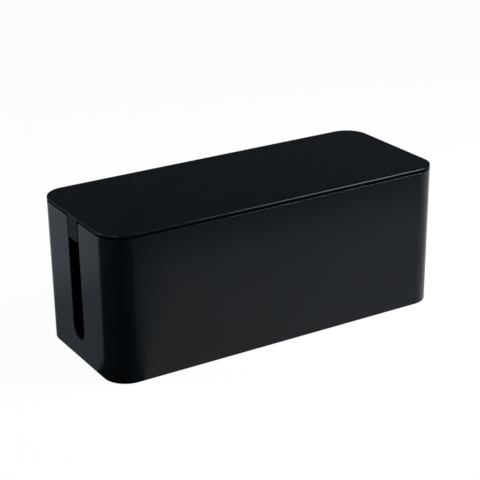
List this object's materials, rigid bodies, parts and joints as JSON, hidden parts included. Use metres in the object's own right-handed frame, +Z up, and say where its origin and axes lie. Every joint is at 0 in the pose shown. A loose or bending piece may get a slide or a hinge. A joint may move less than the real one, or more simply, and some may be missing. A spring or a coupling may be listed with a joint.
{
  "type": "cable management box",
  "caption": "Long open tub with rounded corners and a U-shaped cable slot in each end, closed by a flat lift-off lid whose tongues hang in the slots.",
  "frame": {"origin": "on the surface that the box stands on, under the middle of the box", "axes": "+X along the box, +Y from front to rear, +Z up"},
  "size_m": [0.4, 0.162, 0.16],
  "materials": {
    "tub_plastic": "satin black moulded plastic",
    "lid_plastic": "satin black moulded plastic",
    "foot_rubber": "matt black rubber"
  },
  "bodies": {
    "tub": {"tub": "tub_plastic", "foot_front_left": "foot_rubber", "foot_front_right": "foot_rubber", "foot_rear_left": "foot_rubber", "foot_rear_right": "foot_rubber"},
    "lid": {"lid": "lid_plastic"}
  },
  "joints": [
    {"name": "lid_lift", "type": "slide", "parent": "tub", "child": "lid", "axis": [0, 0, 1], "range_m": [0, 0.06]}
  ]
}
